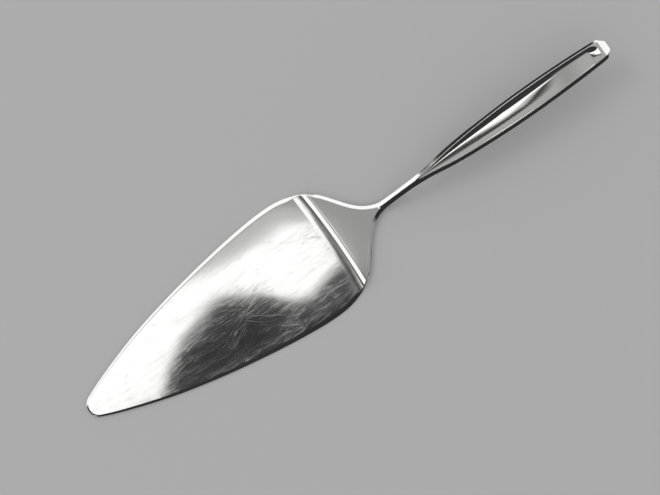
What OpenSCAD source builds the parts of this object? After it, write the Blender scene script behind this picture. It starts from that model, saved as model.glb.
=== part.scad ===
// Cake server: a thin polished blade, a bevelled shoulder plate soldered over its rear edge,
// a slim cranked neck and a hollow handle with a long shallow trough along its top.
// Millimetres. X runs from the blade's tip to the handle's end, Z is up.
// The origin is on the table, under the middle of the whole length.

/* [Blade] */
// Distance from the blade's tip to the foot of the step
blade_len = 121.8; // [110:0.1:140]
// Greatest width of the blade
blade_w = 53.5; // [48:0.1:64]
// Distance from the tip to the greatest width
blade_widest_at = 104.6; // [88:0.1:106]
// Thickness of the blade sheet
blade_t = 1.2; // [0.9:0.1:2]
// Radius of the rounded tip
tip_r = 5.2; // [4:0.1:7]
// Angle between the long axis and the edge just behind the tip
tip_angle = 24; // [18:1:30]
// Width of the soft bevel round the blade's upper edge
blade_bevel_w = 1.1; // [0.4:0.1:1.4]
// Width of that bevel along the tongue, where the shoulder plate covers it
tongue_bevel_w = 0.3; // [0.2:0.05:0.4]
// Length before the step over which the bevel narrows
bevel_fade = 7; // [4:0.5:12]
// Height of that bevel
blade_bevel_h = 0.35; // [0.1:0.05:0.6]
// Length of the blade's tongue under the shoulder plate
tongue_len = 11.6; // [9:0.1:13]

/* [Shoulder] */
// Width across the foot of the step
step_w = 45.7; // [40:0.1:47]
// Thickness of the shoulder plate
plate_t = 1.7; // [1.3:0.1:2.4]
// Width of the bevelled riser of the step, seen from above
riser_run = 1.9; // [1.2:0.1:2.6]
// Height of the blunt lower edge of the riser
riser_land = 0.25; // [0.15:0.05:0.25]
// Distance from the foot of the step to the start of the upward bend
plate_flat_len = 22.5; // [21:0.1:23]
// Length before that bend over which the plate already thickens
thicken_lead = 3; // [2:0.5:4]
// Distance from the foot of the step to where the neck has its own width
flare_len = 25; // [23:0.1:30]
// Width of the bevel along the shoulder plate's side edges
plate_bevel_w = 1.15; // [0.8:0.05:1.5]
// Height of that bevel
plate_bevel_h = 0.9; // [0.5:0.05:1.1]
// Length behind the riser over which the side bevel grows to its full width
bevel_lead = 2.4; // [1.5:0.1:4]

/* [Solder lap] */
// Thickness of the solder between the blade and the shoulder plate
solder_t = 0.1; // [0.05:0.01:0.15]
// Width of the polished solder fillet in front of the step
fillet_run = 3.6; // [2:0.1:5]
// Height of the fillet against the riser
fillet_h = 0.5; // [0.45:0.05:0.6]

/* [Neck] */
// Width of the neck
neck_w = 3.7; // [3.2:0.1:4.4]
// Length of the neck between the flare and the handle's mouth
neck_len = 13; // [9:0.5:20]
// Height that the crank lifts the neck above the shoulder plate
neck_lift = 6; // [5:0.5:8]
// Length that sets how tight the crank's bend is
neck_bend = 5; // [4:0.1:5.5]
// Height of the neck's sloping flanks
neck_flank_h = 1.45; // [1.2:0.05:1.8]
// Height of the neck's upright sides
neck_side_h = 0.9; // [0.8:0.05:1.2]
// Depth of the neck's rounded underside
neck_belly_h = 2; // [1.8:0.1:2.6]
// Half width of the blunt ridge along the top of the neck
ridge_land = 0.15; // [0.1:0.05:0.25]

/* [Handle] */
// Length of the handle from its mouth to its end, along X
handle_len = 97.2; // [80:0.1:120]
// Greatest width of the handle
handle_w = 12.1; // [10:0.1:15]
// Width of the handle near its end
handle_end_w = 9.4; // [8:0.1:10]
// Height that the handle's slope alone would give at its end
handle_rise = 21; // [19:0.5:26]
// Height that the arch of the handle takes off again at its end
handle_droop = 9; // [7:0.25:10.25]
// Height of the sloping flanks beside the rims
flank_h = 1.15; // [0.9:0.05:1.3]
// Width of those flanks, seen from above
flank_w = 1.38; // [1:0.01:1.6]
// Height of the upright sides, from the flanks down to the seam
side_h = 3.45; // [3.2:0.05:4.2]
// How far the upright sides lean out towards the seam
side_lean = 0.1; // [0.05:0.01:0.2]
// Depth of the rounded underside below the seam
belly_h = 3; // [2.6:0.1:4]
// Width of the polished rim beside the trough
rim_w = 0.2; // [0.15:0.05:0.4]
// Depth of the trough
trough_depth = 1; // [0.6:0.1:1.4]
// Distance from the handle's mouth to the start of the trough
trough_lead = 1.1; // [0.5:0.1:3]
// Length over which the trough reaches its full depth
trough_ease = 44; // [30:1:60]
// Thickness of the end behind the trough
end_wall = 3.8; // [2.4:0.1:6]
// Length over which the trough's floor rises to its end
trough_close = 4.4; // [3:0.1:7]
// Radius of the trough's corners at its end, seen from above
trough_corner = 2.2; // [1:0.1:3]
// Radius that rounds the top edge of the handle's end
end_round = 1.8; // [1:0.1:2.4]
// Length over which the handle's end corners are rounded, seen from above
end_corner = 3.5; // [2:0.1:4]
// Width that this rounding takes off each side at the very end
end_narrow = 1.1; // [0.5:0.1:1.6]
// How far the seam stands out behind the end's top edge
end_bulge = 0.4; // [0.3:0.05:0.8]
// Wall of the two pressed shells
wall = 0.6; // [0.4:0.05:0.7]
// Depth of metal inside the folded rim, from its top
rim_fold = 1.2; // [1:0.05:1.4]

/* [Tang and filler] */
// Length of the tang inside the handle
tang_len = 52; // [30:1:70]
// Width of the tang
tang_w = 1.9; // [1.6:0.1:2.1]
// Height of the tang above the level of the handle's seam
tang_up = 0.7; // [0.5:0.05:0.8]
// Depth of the tang below the level of the handle's seam
tang_down = 1.1; // [0.8:0.05:1.2]
// Clearance between the filler and the metal round it
bed_gap = 0.05; // [0.03:0.01:0.08]

/* [Hidden] */

// Counts of sections and points; more of them give finer facets
tip_steps = 8;
edge_steps = 44;
tongue_steps = 9;
shoulder_steps = 30;
handle_steps = 34;
tang_steps = 10;
trough_points = 8;
belly_points = 5;

// Heights of the stack at the shoulder
lap_z = blade_t + solder_t;
plate_top_z = lap_z + plate_t;

// Short lengths: the blunt end of the tip, the step that measures a slope, half the trough's
// starting width and the inset of the folded rims
tip_flat = 2 * ridge_land;
slope_step = ridge_land;
trough_start = ridge_land / 2;
fold_inset = ridge_land;

// Places along X, measured from the blade's tip
riser_top_x = blade_len + riser_run;
bend_x = blade_len + plate_flat_len;
flare_end_x = blade_len + flare_len;
mouth_x = flare_end_x + neck_len;
handle_end_x = mouth_x + handle_len;
trough_x = mouth_x + trough_lead;
trough_end_x = handle_end_x - end_wall;
tongue_end_x = blade_len + tongue_len;

// Hand-chosen outline shares. Each pair is a share of a length and a share of a half width.
front_shares = [[0.08, 0.262], [0.16, 0.376], [0.24, 0.48], [0.32, 0.573], [0.4, 0.652],
    [0.48, 0.722], [0.56, 0.785], [0.64, 0.841], [0.72, 0.891], [0.8, 0.935], [0.88, 0.971],
    [0.95, 0.994], [1, 1]];
rear_shares = [[0.18, 0.985], [0.36, 0.925], [0.6, 0.72], [0.83, 0.375], [1, 0]];
flare_shares = [[0.11, 0.915], [0.22, 0.805], [0.34, 0.63], [0.455, 0.445], [0.56, 0.29],
    [0.665, 0.168], [0.77, 0.083], [0.88, 0.028], [1, 0]];
swell_shares = [[0.056, 0.08], [0.104, 0.195], [0.152, 0.37], [0.198, 0.52], [0.247, 0.635],
    [0.294, 0.725], [0.341, 0.8], [0.435, 0.915], [0.528, 0.98], [0.623, 1]];
taper_shares = [[0.718, 0.926], [0.813, 0.74], [0.908, 0.44], [0.956, 0.24], [1, 0]];

// Where the crest's flank widths change, as shares of the flare and of the handle
flank_turn_share = 0.66;
thicken_share = 0.56;
flank_ease_share = 0.47;
rim_ease_share = 0.1;
corner_bevel_share = 0.3;
plate_side_share = 0.4;
riser_foot_share = 0.85;
riser_edge_share = 0.7;
tang_flank_share = 0.4;

// How much of the end's width stays flat at the seam
end_flat_share = 0.85;

// How square the trough's section is: 2 gives a parabola, a higher even number a flatter floor
floor_power = 8;

function mix(a, b, t) = a + (b - a) * t;
function clamp(t) = min(1, max(0, t));
function smooth(t) = let (c = clamp(t)) c * c * (3 - 2 * c);
function square_of(v) = v * v;

// Height of a quarter round at the share t of its length: 0 at the start, 1 at the end
function quarter(t) = 1 - sqrt(1 - square_of(clamp(t)));

// Smooth curve through points with rising first values
function tangent(p, i) =
    let (a = max(0, i - 1), b = min(len(p) - 1, i + 1))
    (p[b][1] - p[a][1]) / (p[b][0] - p[a][0]);
function segment(p, u) = max([for (k = [0 : len(p) - 2]) if (k == 0 || u >= p[k][0]) k]);
function follow(p, u) =
    let (k = segment(p, u), h = p[k + 1][0] - p[k][0], t = clamp((u - p[k][0]) / h))
    p[k][1] * (2 * pow(t, 3) - 3 * pow(t, 2) + 1)
    + tangent(p, k) * h * (pow(t, 3) - 2 * pow(t, 2) + t)
    + p[k + 1][1] * (3 * pow(t, 2) - 2 * pow(t, 3))
    + tangent(p, k + 1) * h * (pow(t, 3) - pow(t, 2));

// Half width of the whole outline, seen from above
tip_tangent = [tip_r * (1 - sin(tip_angle)), tip_r * cos(tip_angle)];
outline = concat(
    [tip_tangent],
    [for (s = front_shares) [s[0] * blade_widest_at, s[1] * blade_w / 2]],
    [for (s = rear_shares) [mix(blade_widest_at, blade_len, s[0]), mix(step_w, blade_w, s[1]) / 2]],
    [for (s = flare_shares) [blade_len + s[0] * flare_len, mix(neck_w, step_w, s[1]) / 2]],
    [[mouth_x, neck_w / 2]],
    [for (s = swell_shares) [mouth_x + s[0] * handle_len, mix(neck_w, handle_w, s[1]) / 2]],
    [for (s = taper_shares) [mouth_x + s[0] * handle_len, mix(handle_end_w, handle_w, s[1]) / 2]]
);
function plain_half_w(x) = follow(outline, x);
function end_share(x) = (x - (handle_end_x - end_corner)) / end_corner;
function half_w(x) = plain_half_w(x) - end_narrow * quarter(end_share(x));
function half_w_slope(x) = (plain_half_w(x + slope_step) - plain_half_w(x - slope_step)) / (2 * slope_step);

// Height of the crest line: flat over the shoulder, then the crank, then the arched handle
function past_bend(x) = max(0, x - bend_x);
handle_run = handle_end_x - bend_x;
function crest_z(x) =
    let (t = past_bend(x), fade = exp(-t / neck_bend))
    plate_top_z
    + neck_lift * (1 - (1 + t / neck_bend) * fade)
    + handle_rise * (t - neck_bend * (1 - fade)) / handle_run
    - handle_droop * square_of(t / handle_run);
function crest_slope(x) =
    let (t = past_bend(x), fade = exp(-t / neck_bend))
    neck_lift * t / square_of(neck_bend) * fade
    + handle_rise * (1 - fade) / handle_run
    - 2 * handle_droop * t / square_of(handle_run);

// Depths below the crest: of the flanks' feet, of the seam line and of the rounded underside
function roundness(x) = smooth((x - bend_x + thicken_lead) / (flare_len * thicken_share));
function bevel_growth(x) = mix(corner_bevel_share, 1, smooth((x - riser_top_x) / bevel_lead));
function fullness(x) = smooth((x - mouth_x) / (handle_len * flank_ease_share));
function flank_depth(x) =
    bevel_growth(x) * mix(mix(plate_bevel_h, neck_flank_h, roundness(x)), flank_h, fullness(x));
plate_side_h = (plate_t - plate_bevel_h) * plate_side_share;
function upright_side(x) = mix(mix(plate_side_h, neck_side_h, roundness(x)), side_h, fullness(x));
function seam_depth(x) = flank_depth(x) + upright_side(x);
neck_keel_h = neck_flank_h + neck_side_h + neck_belly_h;
handle_keel_h = flank_h + side_h + belly_h;
function keel_depth(x) = mix(mix(plate_t, neck_keel_h, roundness(x)), handle_keel_h, fullness(x));
function end_keel(x) = keel_depth(x) - end_narrow * quarter(end_share(x));

// Half width of the flat or of the rims' outer edges along the crest
function bevel_w(x) =
    let (
        turn = blade_len + flare_len * flank_turn_share,
        narrow = smooth((x - turn) / (flare_end_x - turn))
    )
    mix(plate_bevel_w * bevel_growth(x) * sqrt(1 + square_of(half_w_slope(x))), neck_w / 2, narrow);
function rim_bevel_w(x) = mix(neck_w / 2, flank_w, smooth((x - trough_x) / (handle_len * rim_ease_share)));
function crest_half(x) = max(ridge_land, half_w(x) - (x < trough_x ? bevel_w(x) : rim_bevel_w(x)));
function trough_half(x) = max(trough_start, crest_half(x) - rim_w);
function crest_drop(x) = end_round * quarter((x - (handle_end_x - end_round)) / end_round);

// Depth of the trough at x, where v runs from -1 to 1 between its edges
function trough_dip(x, v) =
    trough_depth * smooth((x - trough_x) / trough_ease) * (1 - pow(v, floor_power))
    * (1 - smooth((x + trough_corner * pow(v, 4) - (trough_end_x - trough_close)) / trough_close));

// A section is a list of [across, depth below the crest]. Its edge is at the seam, its foot where
// the sloping flank meets the upright side, and its rim beside the trough or the flat.
function left(p) = [-p[0], p[1]];
function spread(n) = [for (k = [0 : n - 1]) 2 * k / (n - 1) - 1];
function top_row(edge, foot, rim, inner_half, dips) = concat(
    [left(edge), left(foot), left(rim)],
    [for (k = [0 : trough_points - 1]) [inner_half * spread(trough_points)[k], dips[k]]],
    [rim, foot, edge]
);
function belly_point(edge, keel, roundness, t) =
    let (
        box = t < 0.5 ? [edge[0], mix(edge[1], keel, 2 * t)] : [edge[0] * 2 * (1 - t), keel],
        bow = [edge[0] * cos(90 * t), mix(edge[1], keel, sin(90 * t))]
    )
    mix(box, bow, roundness);
function belly_row(edge, keel, roundness) =
    let (half = [for (k = [1 : belly_points]) belly_point(edge, keel, roundness, k / (belly_points + 0.5))])
    concat(half, [for (k = [belly_points - 1 : -1 : 0]) [-half[k][0], half[k][1]]]);

// A point of the section at x, set square to the crest line
function placed(x, p) =
    let (a = atan(crest_slope(x)))
    [x + p[1] * sin(a) - middle_x, p[0], crest_z(x) - p[1] * cos(a)];
function place(x, points) = [for (p = points) placed(x, p)];

// The tip ends in a tiny flat. The end face leans with the handle, so the seam across the end
// reaches furthest.
tip_start = asin(tip_flat / tip_r);
tip_reach_x = tip_r * (1 - cos(tip_start));
seam_end_x = handle_end_x + end_bulge;
reach_x = seam_end_x + seam_depth(seam_end_x) * sin(atan(crest_slope(seam_end_x)));
middle_x = (tip_reach_x + reach_x) / 2;

// Outer and inner surfaces of the handle
function outer_edge(x) = [half_w(x), seam_depth(x)];
function foot_half(x) = half_w(x) - side_lean * roundness(x);
function outer_foot(x) = [foot_half(x), flank_depth(x) + crest_drop(x)];
function outer_top(x) = top_row(
    outer_edge(x), outer_foot(x), [crest_half(x), crest_drop(x)], trough_half(x),
    [for (v = spread(trough_points)) crest_drop(x) + trough_dip(x, v)]
);
function outer_belly(x) = belly_row(outer_edge(x), end_keel(x), 1);
function inner_edge(x, gap) = [half_w(x) - wall - gap, seam_depth(x)];
function inner_foot(x, gap) = [foot_half(x) - wall - gap, flank_depth(x) + crest_drop(x) + wall];
function inner_half(x) = max(fold_inset, crest_half(x) - fold_inset);
function inner_top(x, gap) = top_row(
    inner_edge(x, gap), inner_foot(x, gap), [inner_half(x), crest_drop(x) + rim_fold + gap],
    max(trough_start, inner_half(x) - fold_inset),
    [for (v = spread(trough_points)) crest_drop(x) + gap + max(rim_fold, wall + trough_dip(x - wall, v))]
);
function inner_belly(x, gap) = belly_row(inner_edge(x, gap), end_keel(x) - wall - gap, 1);

// Lofts
function join(lists) = [for (l = lists) for (p = l) p];
function backwards(list) = [for (k = [len(list) - 1 : -1 : 0]) list[k]];
function quad(a, b, c, d, turned = false) = turned ? [[a, b, d], [b, c, d]] : [[a, b, c], [a, c, d]];
function tube_faces(rings, n) = join([
    for (i = [0 : rings - 2]) for (j = [0 : n - 1])
        let (k = (j + 1) % n)
        quad(i * n + j, i * n + k, (i + 1) * n + k, (i + 1) * n + j, j < n / 2)
]);

// A closed solid through rings of equal counts. A flat end is closed by a fan from the ring's
// point with the number hub. A bent end, whose points don't lie in one plane, is closed by strips
// between the ring's left and right points.
function fan_faces(first, n, hub, turned) = [
    for (k = [1 : n - 2])
        let (a = first + hub, b = first + (hub + k) % n, c = first + (hub + k + 1) % n)
        turned ? [a, c, b] : [a, b, c]
];
function strip_faces(first, n, turned) = join([
    for (j = [0 : n / 2 - 2])
        let (a = first + j, b = first + j + 1, c = first + n - 2 - j, d = first + n - 1 - j)
        turned ? quad(a, d, c, b) : quad(a, b, c, d)
]);
module loft(rings, hub = 0, bent_ends = false) {
    n = len(rings[0]);
    last = (len(rings) - 1) * n;
    front = bent_ends ? strip_faces(0, n, true) : fan_faces(0, n, hub, true);
    back = bent_ends ? strip_faces(last, n, false) : fan_faces(last, n, hub, false);
    polyhedron(points = join(rings), faces = concat(tube_faces(len(rings), n), front, back));
}

// A thick sheet between an outer and an inner surface, each a list of equal rows
module thick_sheet(outer, inner) {
    rows = len(outer);
    n = len(outer[0]);
    in = rows * n;
    top = join([for (i = [0 : rows - 2]) for (j = [0 : n - 2])
        let (a = i * n + j, d = a + n)
        quad(a, a + 1, d + 1, d, j < n / 2 - 1)]);
    under = join([for (i = [0 : rows - 2]) for (j = [0 : n - 2])
        let (a = in + i * n + j, d = a + n)
        quad(a, d, d + 1, a + 1, j < n / 2 - 1)]);
    left = join([for (i = [0 : rows - 2])
        quad(i * n, (i + 1) * n, in + (i + 1) * n, in + i * n)]);
    right = join([for (i = [0 : rows - 2])
        quad(i * n + n - 1, in + i * n + n - 1, in + (i + 1) * n + n - 1, (i + 1) * n + n - 1)]);
    end = (rows - 1) * n;
    front = join([for (j = [0 : n - 2]) quad(j, in + j, in + j + 1, j + 1)]);
    back = join([for (j = [0 : n - 2]) quad(end + j, end + j + 1, in + end + j + 1, in + end + j)]);
    polyhedron(
        points = concat(join(outer), join(inner)),
        faces = concat(top, under, left, right, front, back)
    );
}

// Stations along X
function steps(from, to, n) = [for (k = [0 : n]) mix(from, to, k / n)];
function eased_steps(from, to, n) = [for (k = [0 : n]) mix(from, to, (1 - cos(180 * k / n)) / 2)];
shell_x = eased_steps(mouth_x, handle_end_x, handle_steps);
cavity_end_x = handle_end_x - wall;
cavity_x = eased_steps(mouth_x, cavity_end_x, handle_steps);

// Places round the blade's edge, as [x, half width, the bevel's inward offset]
function soft_bevel_w(x) =
    mix(blade_bevel_w, tongue_bevel_w, smooth((x + bevel_fade - blade_len) / bevel_fade));
tip_edge = [for (a = steps(tip_start, 90 - tip_angle, tip_steps))
    [tip_r * (1 - cos(a)), tip_r * sin(a), [blade_bevel_w * cos(a), -blade_bevel_w * sin(a)]]];
function edge_at(x) =
    let (m = half_w_slope(x), w = soft_bevel_w(x) / sqrt(1 + m * m))
    [x, plain_half_w(x), [w * m, -w]];
blade_edge = concat(
    tip_edge,
    [for (k = [1 : edge_steps]) edge_at(mix(tip_tangent[0], blade_len, k / edge_steps))],
    [for (k = [1 : tongue_steps]) edge_at(mix(blade_len, tongue_end_x, k / tongue_steps))]
);

function blade_ring(e) =
    let (x = e[0] - middle_x, inset = [x + e[2][0], e[1] + e[2][1]], side_z = blade_t - blade_bevel_h)
    [
        [x, -e[1], 0], [x, -e[1], side_z], [inset[0], -inset[1], blade_t],
        [inset[0], inset[1], blade_t], [x, e[1], side_z], [x, e[1], 0],
    ];

// The pressed blade with its tongue, flat underneath
module blade() {
    color("gainsboro") loft([for (e = blade_edge) blade_ring(e)], bent_ends = true);
}

// Half width of the solder, kept inside the blade's bevel
solder_x = concat(
    steps(blade_len - fillet_run, blade_len, tongue_steps),
    [for (k = [1 : tongue_steps]) mix(blade_len, tongue_end_x, k / tongue_steps)]
);
function solder_half(x) = plain_half_w(x) - soft_bevel_w(x) * sqrt(1 + square_of(half_w_slope(x)));

// Side view of the solder: a concave fillet, the riser's face, then the thin film in the lap
fillet_top_x = blade_len + (fillet_h - solder_t - riser_land) * riser_run / (plate_t - riser_land);
module solder_profile() {
    rise = [for (t = steps(0, 1, tongue_steps))
        [mix(blade_len - fillet_run, fillet_top_x, t), blade_t + fillet_h * square_of(t)]];
    polygon(concat(rise, [
        [blade_len, lap_z + riser_land], [blade_len, lap_z],
        [tongue_end_x, lap_z], [tongue_end_x, blade_t],
    ]));
}

// The solder that holds the shoulder plate on the blade
module lap_solder() {
    left = [for (x = solder_x) [x, solder_half(x)]];
    right = [for (x = backwards(solder_x)) [x, -solder_half(x)]];
    color("silver") translate([-middle_x, 0, 0]) intersection() {
        linear_extrude(plate_top_z) polygon(concat(left, right));
        translate([0, blade_w, 0]) rotate([90, 0, 0]) linear_extrude(2 * blade_w) solder_profile();
    }
}

// Section of the shoulder, the neck and the tang, without a trough. It starts beside the keel,
// goes up the left side, over the top and down the right side.
function left_of(points) = [for (p = points) if (p[0] < 0) p];
function right_of(points) = [for (p = points) if (p[0] > 0) p];
function solid_section(edge, foot, rim, keel, roundness) =
    let (belly = belly_row(edge, keel, roundness))
    concat(left_of(belly), [left(edge), left(foot), left(rim), rim, foot, edge], right_of(belly));
rim_number = belly_points + 2;

function shoulder_ring(x) = place(x, solid_section(
    outer_edge(x), outer_foot(x), [crest_half(x), 0], keel_depth(x), roundness(x)
));
function riser_point(half, share) = [half, plate_t - riser_land * share];
riser_foot = place(blade_len, solid_section(
    riser_point(half_w(blade_len), riser_edge_share), riser_point(half_w(blade_len), riser_foot_share),
    riser_point(crest_half(blade_len), 1), plate_t, 0
));

function tang_row(x, gap) =
    let (seam = seam_depth(x), half = tang_w / 2 + gap, top = seam - tang_up - gap)
    [[half, seam], [half, mix(seam, top, tang_flank_share)], [half / 2, top], seam + tang_down + gap];
function tang_section(x) =
    let (p = tang_row(x, 0))
    solid_section(p[0], p[1], p[2], p[3], 1);

// Forged shoulder plate with its bevelled riser, the cranked neck and the tang in the handle
module shoulder_and_tang() {
    color("silver") loft(concat(
        [riser_foot],
        [for (x = steps(riser_top_x, mouth_x, shoulder_steps)) shoulder_ring(x)],
        [for (x = steps(mouth_x, mouth_x + tang_len, tang_steps)) place(x, tang_section(x))]
    ), rim_number);
}

// A row laid flat at the level of the seam closes the end of a shell
function seam_row(x, row) = [for (p = row) [p[0] * end_flat_share, seam_depth(x)]];
function closed_rows(rows, x, row) = concat(rows, [place(x, seam_row(x, row))]);

// Pressed upper shell with the trough, the rims and the flanks
module handle_top_shell() {
    function inner_row(x) = inner_top(x, 0);
    color("lightgray") thick_sheet(
        closed_rows([for (x = shell_x) place(x, outer_top(x))], seam_end_x, outer_top(handle_end_x)),
        closed_rows([for (x = cavity_x) place(x, inner_row(x))], seam_end_x - wall, inner_row(cavity_end_x))
    );
}

// Pressed lower shell, soldered to the upper one along the flanks' lower edges
function whole_belly(edge, belly) = concat([edge], belly, [left(edge)]);
module handle_bottom_shell() {
    function outer_row(x) = whole_belly(outer_edge(x), outer_belly(x));
    function inner_row(x) = whole_belly(inner_edge(x, 0), inner_belly(x, 0));
    color("darkgray") thick_sheet(
        closed_rows([for (x = shell_x) place(x, outer_row(x))], seam_end_x, outer_row(handle_end_x)),
        closed_rows([for (x = cavity_x) place(x, inner_row(x))], seam_end_x - wall, inner_row(cavity_end_x))
    );
}

// Cast filler that fills the shells and holds the tang
function filler_section(x) =
    let (belly = inner_belly(x, bed_gap))
    concat(left_of(belly), inner_top(x, bed_gap), right_of(belly));
function tang_hole(x) =
    let (
        p = tang_row(x, bed_gap),
        belly = belly_row(p[0], p[3], 1),
        row = top_row(p[0], p[1], p[2], p[2][0] / 2, [for (v = spread(trough_points)) p[2][1]])
    )
    concat(left_of(belly), row, right_of(belly));
module handle_filler() {
    hole_x = steps(mouth_x + tang_len + bed_gap, mouth_x + bed_gap, tang_steps);
    fill_x = eased_steps(mouth_x + bed_gap, cavity_end_x - bed_gap, handle_steps);
    color("tan") loft(concat(
        [for (x = hole_x) place(x, tang_hole(x))],
        [for (x = fill_x) place(x, filler_section(x))]
    ));
}

blade();
lap_solder();
shoulder_and_tang();
handle_top_shell();
handle_bottom_shell();
handle_filler();
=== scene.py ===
"""A cake server of polished steel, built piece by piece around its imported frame.

Lengths are metres in the frame's own axes: X runs from the blade's tip to the handle's end, Z is up.
"""

from math import asin, atan, cos, degrees, exp, pi, radians, sin, sqrt, tan

import bmesh
import bpy
from bpy.props import FloatProperty, FloatVectorProperty, IntProperty, PointerProperty
from mathutils import Matrix, Vector


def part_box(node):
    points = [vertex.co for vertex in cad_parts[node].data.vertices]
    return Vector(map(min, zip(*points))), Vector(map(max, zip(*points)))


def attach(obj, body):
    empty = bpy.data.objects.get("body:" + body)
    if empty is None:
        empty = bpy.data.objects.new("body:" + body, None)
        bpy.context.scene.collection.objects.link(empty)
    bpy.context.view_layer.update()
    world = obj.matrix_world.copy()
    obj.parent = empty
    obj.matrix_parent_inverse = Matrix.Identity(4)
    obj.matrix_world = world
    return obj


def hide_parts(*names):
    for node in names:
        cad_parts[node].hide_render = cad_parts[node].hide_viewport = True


bl_info = {
    "name": "Cake Server",
    "version": (1, 0, 0),
    "blender": (4, 5, 0),
    "location": "3D View > Sidebar > Cake Server",
    "description": "Builds a polished cake server with its blade, shoulder, neck and hollow handle",
    "category": "Add Mesh",
}

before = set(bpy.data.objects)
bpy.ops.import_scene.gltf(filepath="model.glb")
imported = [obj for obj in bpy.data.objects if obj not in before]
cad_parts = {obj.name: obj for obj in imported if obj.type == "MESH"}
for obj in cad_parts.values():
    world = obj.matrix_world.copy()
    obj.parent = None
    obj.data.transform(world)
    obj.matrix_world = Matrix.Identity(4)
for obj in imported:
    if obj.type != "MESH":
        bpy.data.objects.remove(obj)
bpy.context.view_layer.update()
BLADE_LOW, BLADE_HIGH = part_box("blade")
BODY = "root"

# The outline's points, given one by one. Each pair is a share of a length and a share of a width.
FRONT_SHARES = [
    (0.08, 0.262), (0.16, 0.376), (0.24, 0.48), (0.32, 0.573), (0.4, 0.652), (0.48, 0.722),
    (0.56, 0.785), (0.64, 0.841), (0.72, 0.891), (0.8, 0.935), (0.88, 0.971), (0.95, 0.994), (1, 1),
]
REAR_SHARES = [(0.18, 0.985), (0.36, 0.925), (0.6, 0.72), (0.83, 0.375), (1, 0)]
FLARE_SHARES = [
    (0.11, 0.915), (0.22, 0.805), (0.34, 0.63), (0.455, 0.445), (0.56, 0.29), (0.665, 0.168),
    (0.77, 0.083), (0.88, 0.028), (1, 0),
]
SWELL_SHARES = [
    (0.056, 0.08), (0.104, 0.195), (0.152, 0.37), (0.198, 0.52), (0.247, 0.635), (0.294, 0.725),
    (0.341, 0.8), (0.435, 0.915), (0.528, 0.98), (0.623, 1),
]
TAPER_SHARES = [(0.718, 0.926), (0.813, 0.74), (0.908, 0.44), (0.956, 0.24), (1, 0)]

# The blade's gentle warp: shares of the blade's length and of the steepest cross slope
WARP_SHARES = [
    (0, 0), (0.16, 0), (0.204, 0.03), (0.237, 0.1), (0.271, 0.255), (0.298, 0.4), (0.332, 0.52),
    (0.367, 0.648), (0.399, 0.75), (0.473, 0.889), (0.54, 0.98), (0.574, 0.99), (0.614, 0.889),
    (0.648, 0.76), (0.692, 0.6), (0.712, 0.497), (0.739, 0.31), (0.762, 0.17), (0.796, 0.05),
    (0.835, -0.01), (0.877, 0.05), (0.917, 0.12), (0.971, 0.16), (1, 0.17),
]

# How the tilt of the trough's floor changes along it: shares of the handle's length and of the tilt
ROLL_SHARES = [
    (0, 1.8), (0.18, 1.62), (0.361, 1.16), (0.479, 0.92), (0.572, 0.86), (0.63, 1.1), (0.669, 1.4),
    (0.73, 1.8), (0.85, 1.7), (1, 1.1),
]

# Where sections change along the flare and the handle, as shares of their lengths
FLANK_TURN_SHARE = 0.66
THICKEN_SHARE = 0.56
PLATE_ARCH_SHARE = 0.3
FLANK_EASE_SHARE = 0.47
RIM_EASE_SHARE = 0.05
CORNER_BEVEL_SHARE = 0.3
PLATE_SIDE_SHARE = 0.4
RISER_FOOT_SHARE = 0.85
RISER_EDGE_SHARE = 0.7
TANG_FLANK_SHARE = 0.4
END_FLAT_SHARE = 0.85
TANG_RIM_SHARE = 0.5
STEP_REACH = 2
FLOOR_POWER = 6
FLOOR_CORNER_POWER = 4
FILLET_START_SHARE = 0.34


def length(name, description, default):
    """A length in metres."""
    return FloatProperty(name=name, description=description, default=default, unit="LENGTH", precision=5)


def angle(name, description, default):
    """An angle, with its default given in degrees."""
    return FloatProperty(name=name, description=description, default=radians(default), subtype="ANGLE")


def strength(name, description, default):
    """A strength from nothing upwards."""
    return FloatProperty(name=name, description=description, default=default, min=0)


def surface_colour(name, description, default):
    """A colour, with its default given as red, green and blue."""
    return FloatVectorProperty(
        name=name, description=description, default=default, subtype="COLOR", size=3, min=0, max=1
    )


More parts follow.
